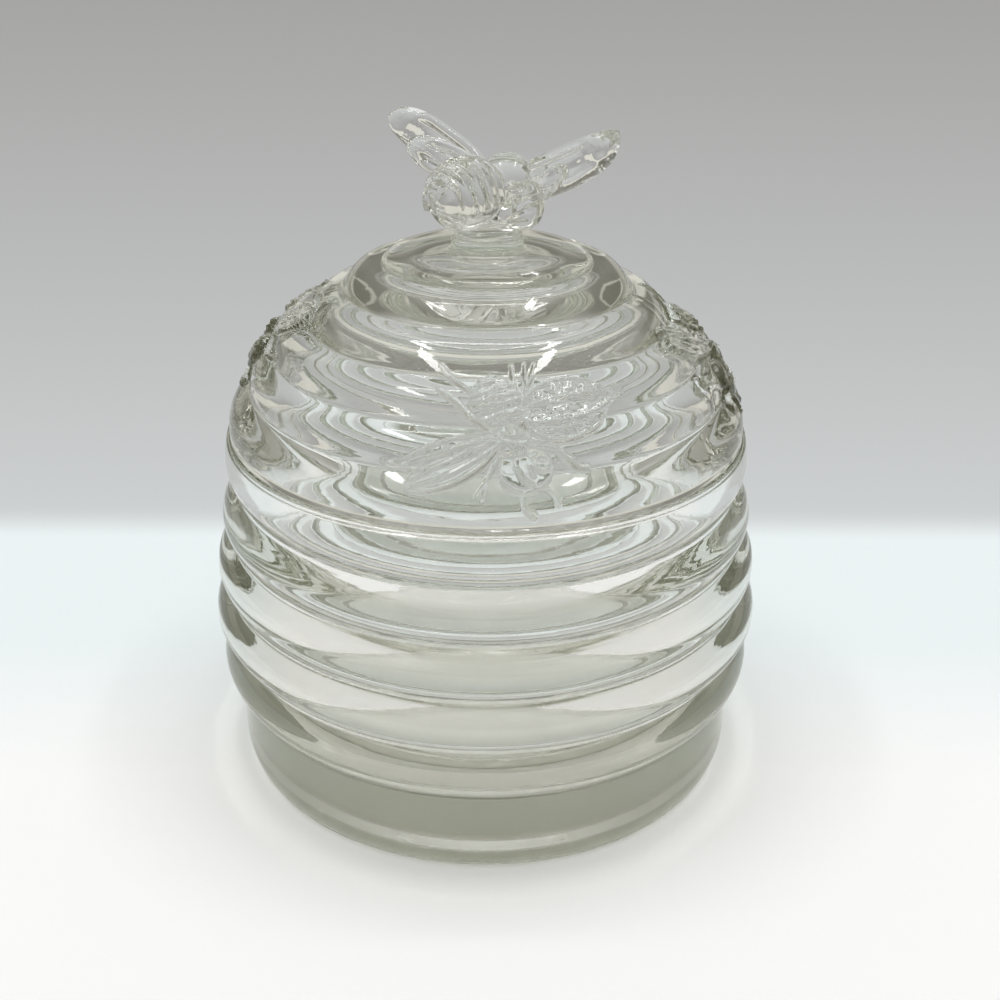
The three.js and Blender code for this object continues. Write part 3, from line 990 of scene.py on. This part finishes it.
@dataclass(frozen=True)
class Dimple:
    """A shallow hollow pressed in the bee, its middle measured from the abdomen's middle, in mm."""

    middle: tuple[float, float, float]
    radius: float
    depth: float
    flat_share: float = 0.45

    def press(self, spots: np.ndarray, centre: Vector) -> np.ndarray:
        """Pushes the points near it towards the middle of the abdomen.

        Args:
            spots: Points of the bee.
            centre: The middle of its abdomen.

        Returns:
            The moved points.
        """
        away = spots - np.array(centre)
        near = np.linalg.norm(away - np.array(self.middle), axis=1) / self.radius
        depth = self.depth * (1 - smooth_step((near - self.flat_share) / (1 - self.flat_share)))
        return spots - away / np.maximum(np.linalg.norm(away, axis=1), MM)[:, None] * depth[:, None]


@dataclass
class Finial:
    """The glass bee on the plinth, pressed in one piece and fused on, with its tail towards the front."""

    heading: float = 43.0
    wing_heading: float = 59.0
    wing_shift: float = 1.7
    wing_lift: float = 0.8
    seat: float = 103.1
    saddle_length: float = 11.7
    saddle_width: float = 8.1
    saddle_rows: tuple[Point, ...] = (
        (1.02, -0.5), (1.05, 0.1), (1.0, 0.6), (0.9, 1.2), (0.86, 2.0), (0.9, 2.6),
    )
    saddle_wander: tuple[tuple[int, float, float], ...] = ((3, 1.0, 0.03), (7, 0.0, 0.02))
    seam_wave: tuple[int, float, float] = (4, 0.6, 0.12)
    abdomen_radius: float = 6.9
    abdomen_length: float = 13.6
    abdomen_lift: float = 0.8
    abdomen_droop: float = 1.0
    abdomen_ridges: int = 7
    ridge_depth: float = 1.05
    ridge_softness: float = 0.05
    ridge_fullness: float = 0.5
    ridge_steps: int = 18
    belly_ridge_share: float = 0.3
    belly_blend: float = 0.35
    back_share: float = 0.4
    belly_line: float = -1.3
    thorax_radius: float = 5.0
    head_radius: float = 3.4
    head_drop: float = 2.0
    eye_shares: tuple[float, float, float] = (0.35, 0.7, 0.2)
    eye_size: tuple[float, float, float] = (1.3, 0.9, 1.5)
    overlap_share: float = 0.15
    thorax_lift_share: float = 0.2
    wing_lean: float = 12.0
    left_wings: tuple[Blade, ...] = (
        Blade(24.6, 7.8, 3.4, 11.0, 0.0, 1.6, straight=-0.3, tip_swell=0.45, tip_facets=0.1),
        Blade(17.2, 6.6, 2.8, 7.6, 30.0, 1.2, tip_swell=0.3),
    )
    right_wings: tuple[Blade, ...] = (
        Blade(28.1, 7.6, 4.2, 12.6, 0.0, 3.1, straight=0.6, tip_swell=0.3, tip_facets=0.22, inset=3.5),
        Blade(12.4, 8.6, 3.2, 3.0, 12.0, 4.3, back=3.4, inset=0.8),
        Blade(15.5, 4.4, 2.8, 9.6, 0.0, 6.0, back=2.8, inset=1.0),
    )
    voxel: float = 0.19
    melt_steps: int = 3
    melt_factor: float = 0.5
    merge_share: float = 0.01
    waist: tuple[float, float, float] = (-2.6, -2.8, -4.6)
    waist_size: tuple[float, float, float] = (3.4, 2.6, 3.2)
    dimples: tuple[Dimple, ...] = (
        Dimple((-3.1, -5.7, 1.4), 1.9, 0.7),
        Dimple((-2.2, -5.2, -3.4), 2.7, 0.9),
    )
    ball_steps: int = 40

    def ball(self, centre: Vector, radii: Vector) -> bpy.types.Mesh:
        """Makes an ellipsoid."""
        made = bmesh.new()
        bmesh.ops.create_uvsphere(made, u_segments=self.ball_steps, v_segments=self.ball_steps // 2,
                                  radius=1)
        made.transform(Matrix.Translation(centre) @ Matrix.Diagonal((*radii, 1)))
        mesh = bpy.data.meshes.new("ball")
        made.to_mesh(mesh)
        made.free()
        return mesh

    def abdomen(self, tree: bpy.types.NodeTree, glass: bpy.types.Material,
                middle: Vector) -> bpy.types.Mesh:
        """Makes the abdomen, ridged above and smooth below.

        Args:
            tree: The turning tree.
            glass: The finish that the tree sets.
            middle: Where its middle lies.

        Returns:
            Its mesh, with the tail towards -X.
        """
        drawn = Outline()
        steps = self.abdomen_ridges * self.ridge_steps
        inner = self.abdomen_radius - self.ridge_depth
        half = self.abdomen_length / 2
        for step in range(steps + 1):
            angle = math.pi * (step / steps - 0.5)
            point = (inner * math.cos(angle), half * math.sin(angle))
            drawn.points.append((0.0, point[1]) if step in (0, steps) else point)
            drawn.ribs.append((1 + math.sin(angle)) / 2 * self.abdomen_ridges)
            drawn.swells.append((self.ridge_depth * math.cos(angle), self.ridge_depth * math.sin(angle)))
        mesh = drawn.turned("abdomen", tree, glass, {
            "Turn Steps": self.ball_steps * 2, "Crease Softness": self.ridge_softness,
            "Fullness": self.ridge_fullness, "Waviness": 0.0, "Wave Size": self.abdomen_radius, "Seed": 0.0,
        })
        mesh.transform(Matrix.Rotation(math.pi / 2, 4, "Y"))
        spots = np.array([tuple(vertex.co) for vertex in mesh.vertices])
        radial = np.hypot(spots[:, 1], spots[:, 2])
        plain = inner + self.ridge_depth * self.belly_ridge_share
        plain = plain * np.sqrt(np.clip(1 - (spots[:, 0] / half) ** 2, 0, 1))
        smooth = smooth_step((self.belly_line - spots[:, 2]) / self.belly_blend)
        off_axis = radial > TINY
        factor = np.where(off_axis, (radial + (plain - radial) * smooth) / np.where(off_axis, radial, 1), 1)
        spots[:, 1:] *= factor[:, None]
        mesh.vertices.foreach_set("co", spots.ravel())
        droop = math.asin(self.abdomen_droop / half)
        mesh.transform(Matrix.Translation(middle) @ Matrix.Rotation(-droop, 4, "Y"))
        return mesh

    def saddle(self) -> bpy.types.Mesh:
        """Makes the oval block under the bee, its lower edge spread a little where it was fused on."""
        rows = [(0.0, self.saddle_rows[0][1]), *self.saddle_rows, (0.0, self.saddle_rows[-1][1])]
        points, around = [], self.ball_steps * 2
        count, phase, size = self.seam_wave
        for share, height in rows:
            for step in range(around):
                angle = math.tau * step / around
                wander = share * (1 + sum(depth * math.sin(turns * angle + start)
                                          for turns, start, depth in self.saddle_wander))
                seam = size * math.sin(count * angle + phase) if share > 0 and height > 0 else 0
                points.append((wander * self.saddle_length / 2 * math.cos(angle),
                               wander * self.saddle_width / 2 * math.sin(angle), self.seat + height + seam))
        mesh = mesh_from("saddle", np.array(points), ring_faces(len(rows), around))
        tidy_mesh(mesh, TurningTree.merge)
        return mesh

    def build(self, tree: bpy.types.NodeTree, glass: bpy.types.Material) -> bpy.types.Object:
        """Makes the bee, melts its parts into one and puts it in its place.

        Args:
            tree: The turning tree.
            glass: Its finish.

        Returns:
            The finished piece.
        """
        middle = Vector((-self.abdomen_length * self.back_share, 0,
                         self.seat + self.abdomen_lift + self.abdomen_radius))
        reach = self.abdomen_length / 2 + self.thorax_radius * (1 - 2 * self.overlap_share)
        thorax = Vector((middle.x + reach, 0, middle.z + self.thorax_radius * self.thorax_lift_share))
        neck = self.thorax_radius + self.head_radius * (1 - 2 * self.overlap_share)
        head = Vector((thorax.x + neck, 0, thorax.z - self.head_drop))
        root = Vector((thorax.x, self.thorax_radius * self.overlap_share, middle.z + self.wing_lift))
        ahead, aside, above = (share * self.head_radius for share in self.eye_shares)
        meshes = [
            self.abdomen(tree, glass, middle),
            self.ball(thorax, Vector((self.thorax_radius,) * 3)),
            self.ball(head, Vector((self.head_radius,) * 3)),
            *(self.ball(Vector((head.x + ahead, way * aside, head.z + above)), Vector(self.eye_size))
              for way in (1, -1)),
            self.ball(thorax + Vector(self.waist), Vector(self.waist_size)),
        ]
        spread = Matrix.Rotation(math.radians(self.wing_heading - self.heading), 4, "Z")
        hub = Matrix.Translation(Vector((thorax.x, 0, 0)))
        around = Matrix.Translation(Vector((0, self.wing_shift, 0))) @ hub @ spread @ hub.inverted()
        for side, blades in ((1, self.left_wings), (-1, self.right_wings)):
            for blade in blades:
                meshes.append(blade.mesh(side, self.wing_lean, root))
                meshes[-1].transform(around)
        turn = Matrix.Rotation(math.radians(self.heading), 4, "Z")
        joined = bmesh.new()
        for mesh in meshes:
            mesh.transform(turn)
            joined.from_mesh(mesh)
        joined.from_mesh(self.saddle())
        whole = bpy.data.meshes.new("bee_parts")
        joined.to_mesh(whole)
        joined.free()
        loose = add_object("bee_parts", whole)
        melt = loose.modifiers.new("melt", "REMESH")
        melt.mode = "VOXEL"
        melt.voxel_size = self.voxel
        ease = loose.modifiers.new("ease", "SMOOTH")
        ease.factor = self.melt_factor
        ease.iterations = self.melt_steps
        mesh = frozen(loose, "bee")
        spots = np.array([tuple(vertex.co) for vertex in mesh.vertices])
        for dimple in self.dimples:
            spots = dimple.press(spots, turn @ middle)
        mesh.vertices.foreach_set("co", spots.ravel())
        tidy_mesh(mesh, self.voxel * self.merge_share)
        return finish_piece("bee", mesh, glass, Body.LID, "bee_finial")


@dataclass
class PhotoCamera:
    """The camera at the photograph's place, in mm and degrees, for a picture 1000 pixels wide and high."""

    distance: float = 247.9
    height: float = 171.12
    pitch: float = 25.997
    yaw: float = 0.617
    roll: float = 0.522
    focal_pixels: float = 1416.3
    picture_pixels: float = 1000.0
    sensor: float = 36.0
    nearest: float = 0.01

    def build(self) -> bpy.types.Object:
        """Makes the camera and gives it to the scene."""
        data = bpy.data.cameras.new("photo_camera")
        data.sensor_width = self.sensor
        data.lens = self.focal_pixels / self.picture_pixels * self.sensor
        data.clip_start = self.nearest
        made = add_object("photo_camera", data)
        turned = (Matrix.Rotation(math.radians(-self.yaw), 4, "Z")
                  @ Matrix.Rotation(math.radians(90 - self.pitch), 4, "X")
                  @ Matrix.Rotation(math.radians(self.roll), 4, "Z"))
        made.matrix_world = Matrix.Translation((0, -self.distance * MM, self.height * MM)) @ turned
        bpy.context.scene.camera = made
        return made


@dataclass
class Lamp:
    """A soft oblong lamp that shines straight down, in metres and watts."""

    name: str
    place: tuple[float, float, float]
    width: float
    depth: float
    power: float
    colour: str = WHITE

    def build(self) -> bpy.types.Object:
        """Makes the lamp."""
        data = bpy.data.lights.new(self.name, "AREA")
        data.shape = "RECTANGLE"
        data.size = self.width
        data.size_y = self.depth
        data.energy = self.power
        data.color = linear(self.colour)[:3]
        made = add_object(self.name, data)
        made.location = self.place
        return made


@dataclass
class Studio:
    """A pale table painted lighter in front of the jar, as painted light, a grey ground behind it painted
    darker further off, as painted shade, a plain room and soft lamps.
    """

    # The table is painted lighter in front of the jar and turns to its own colour under and behind it:
    # painted light standing in for the light that the glass passes onto the table in front.
    table_painted_light: str = "f7f7f6"
    table_far: str = "e8eff0"
    painted_light_turn: Point = (-0.02, 0.03)
    # Past the table's far edge the ground darkens from ground_near to ground_far further off: painted shade
    # standing in for a backdrop wall that is darker towards its top.
    ground_near: str = "ced1d1"
    ground_far: str = "979593"
    table_end: float = 0.091
    blend: float = 0.024
    painted_shade_falloff: float = 0.339
    half_width: float = 3.0
    table_drop: float = 0.0001
    bounces: int = 40
    glossy_filter: float = 0.0
    room_low: str = "dcdad0"
    room_front: str = "7d7c73"
    room_back: str = "57564c"
    room_above: str = "d8d8d3"
    low_band: Point = (0.13, 0.19)
    front_band: Point = (-0.3, 0.3)
    above_band: Point = (0.3, 0.9)
    fill_low: float = 0.34
    fill_high: float = 1.06
    lamps: tuple[Lamp, ...] = (
        Lamp("left_strip", (-0.42, -0.05, 1.05), 0.07, 0.42, 1.1),
        Lamp("right_strip", (0.42, -0.05, 1.05), 0.07, 0.42, 1.1),
        Lamp("back_strip", (0.0, 0.2, 1.05), 0.84, 0.05, 1.3),
    )

    def seen(self, tree: bpy.types.NodeTree) -> bpy.types.NodeSocket:
        """1 for what is seen straight, in a gloss or through glass, and 0 for light on other things."""
        path = add_node(tree, "ShaderNodeLightPath").outputs
        total = path["Is Camera Ray"]
        for name, operation in (("Is Glossy Ray", "ADD"), ("Is Transmission Ray", "ADD"),
                                ("Diffuse Depth", "SUBTRACT")):
            total = add_node(tree, MATH, {0: total, 1: path[name]}, operation=operation,
                             use_clamp=True).outputs[0]
        return total

    def table_material(self) -> bpy.types.Material:
        """Makes the pale table, painted lighter in front of the jar as painted light, and the grey ground
        behind its far edge, painted darker further off as painted shade.
        """
        made = bpy.data.materials.new("pale_table")
        tree = empty_tree(made)
        place = add_node(tree, "ShaderNodeTexCoord").outputs["Object"]
        depth = add_node(tree, "ShaderNodeSeparateXYZ", {0: place}).outputs["Y"]
        edge = (self.table_end - self.blend / 2, self.table_end + self.blend / 2)
        # The second map runs from the table's painted light in front of the jar to its own colour under and
        # behind it.
        beyond, back = [add_node(tree, "ShaderNodeMapRange", {
            "Value": depth, "From Min": start, "From Max": end,
        }, interpolation_type=kind).outputs["Result"]
            for (start, end), kind in ((edge, "SMOOTHSTEP"), (self.painted_light_turn, "LINEAR"))]
        # The ground darkens further from the table's edge: painted shade of the backdrop.
        past = add_node(tree, MATH, {0: depth, 1: self.painted_shade_falloff - self.table_end}, operation="ADD")
        painted_shade_share = add_node(tree, MATH, {0: self.painted_shade_falloff, 1: past.outputs[0]}, operation="DIVIDE",
                        use_clamp=True)
        ground, table = [add_node(tree, "ShaderNodeMix", {
            "Factor": share, "A": linear(start), "B": linear(end),
        }, data_type="RGBA").outputs["Result"]
            for share, start, end in ((painted_shade_share.outputs[0], self.ground_far, self.ground_near),
                                      (back, self.table_painted_light, self.table_far))]
        lit = add_node(tree, "ShaderNodeMix", {"Factor": beyond, "A": table, "B": ground}, data_type="RGBA")
        matt = add_node(tree, "ShaderNodeBsdfDiffuse", {"Color": lit.outputs["Result"]})
        # Seen rays get the ground's colours, its painted shade among them, as a flat glow of strength 1.
        plain = add_node(tree, "ShaderNodeEmission", {"Color": ground, "Strength": 1.0})
        share = add_node(tree, MATH, {0: self.seen(tree), 1: beyond}, operation="MULTIPLY")
        mixed = add_node(tree, "ShaderNodeMixShader", {
            0: share.outputs[0], 1: matt.outputs[0], 2: plain.outputs[0],
        })
        add_node(tree, "ShaderNodeOutputMaterial", {"Surface": mixed.outputs[0]})
        return made

    def world(self) -> None:
        """Makes the room: pale above and behind the jar, darker behind the camera, even as fill light."""
        made = bpy.data.worlds.new("room")
        tree = empty_tree(made)
        place = add_node(tree, "ShaderNodeTexCoord").outputs["Generated"]
        split = add_node(tree, "ShaderNodeSeparateXYZ", {0: place}).outputs
        front, above, low = [add_node(tree, "ShaderNodeMapRange", {
            "Value": split[axis], "From Min": start, "From Max": end,
        }, interpolation_type="SMOOTHSTEP").outputs["Result"]
            for axis, (start, end) in (("Y", self.front_band), ("Z", self.above_band),
                                       ("Z", self.low_band))]
        colour = linear(self.room_low)
        for share, old, new, other in ((low, "A", "B", self.room_front), (front, "B", "A", self.room_back),
                                       (above, "A", "B", self.room_above)):
            colour = add_node(tree, "ShaderNodeMix", {"Factor": share, old: colour, new: linear(other)},
                              data_type="RGBA").outputs["Result"]
        seen = add_node(tree, "ShaderNodeBackground", {"Color": colour, "Strength": 1.0})
        shine = add_node(tree, "ShaderNodeMapRange", {
            "Value": above, "To Min": self.fill_low, "To Max": self.fill_high,
        })
        fill = add_node(tree, "ShaderNodeBackground", {
            "Color": linear(WHITE), "Strength": shine.outputs[0],
        })
        mixed = add_node(tree, "ShaderNodeMixShader", {
            0: self.seen(tree), 1: fill.outputs[0], 2: seen.outputs[0],
        })
        add_node(tree, "ShaderNodeOutputWorld", {"Surface": mixed.outputs[0]})
        bpy.context.scene.world = made

    def build(self) -> None:
        """Makes the table, the room and the lamps."""
        half, top = self.half_width, -self.table_drop
        corners = np.array([(-half, -half, top), (half, -half, top), (half, half, top), (-half, half, top)])
        mesh = mesh_from("table", corners, [(0, 1, 2, 3)])
        mesh.materials.append(self.table_material())
        add_object("table", mesh)
        self.world()
        for lamp in self.lamps:
            lamp.build()
        scene = bpy.context.scene
        scene.view_settings.view_transform = "Standard"
        scene.cycles.max_bounces = self.bounces
        scene.cycles.transmission_bounces = self.bounces
        scene.cycles.glossy_bounces = self.bounces
        scene.cycles.blur_glossy = self.glossy_filter


def main() -> None:
    """Builds the camera, the studio and the pieces in order."""
    logging.basicConfig(level=logging.INFO, format="%(name)s %(message)s")
    PhotoCamera().build()
    Studio().build()
    tree = TurningTree().build()
    Jar().build(tree, PressedGlass("jar_pressed_glass", worn_height=1.6).material())
    Lid().build(PressedGlass("lid_pressed_glass").material())
    Finial().build(tree, PressedGlass("bee_pressed_glass", wave_height=0.006, wave_reach=9.0).material())


if __name__ == "__main__":
    main()
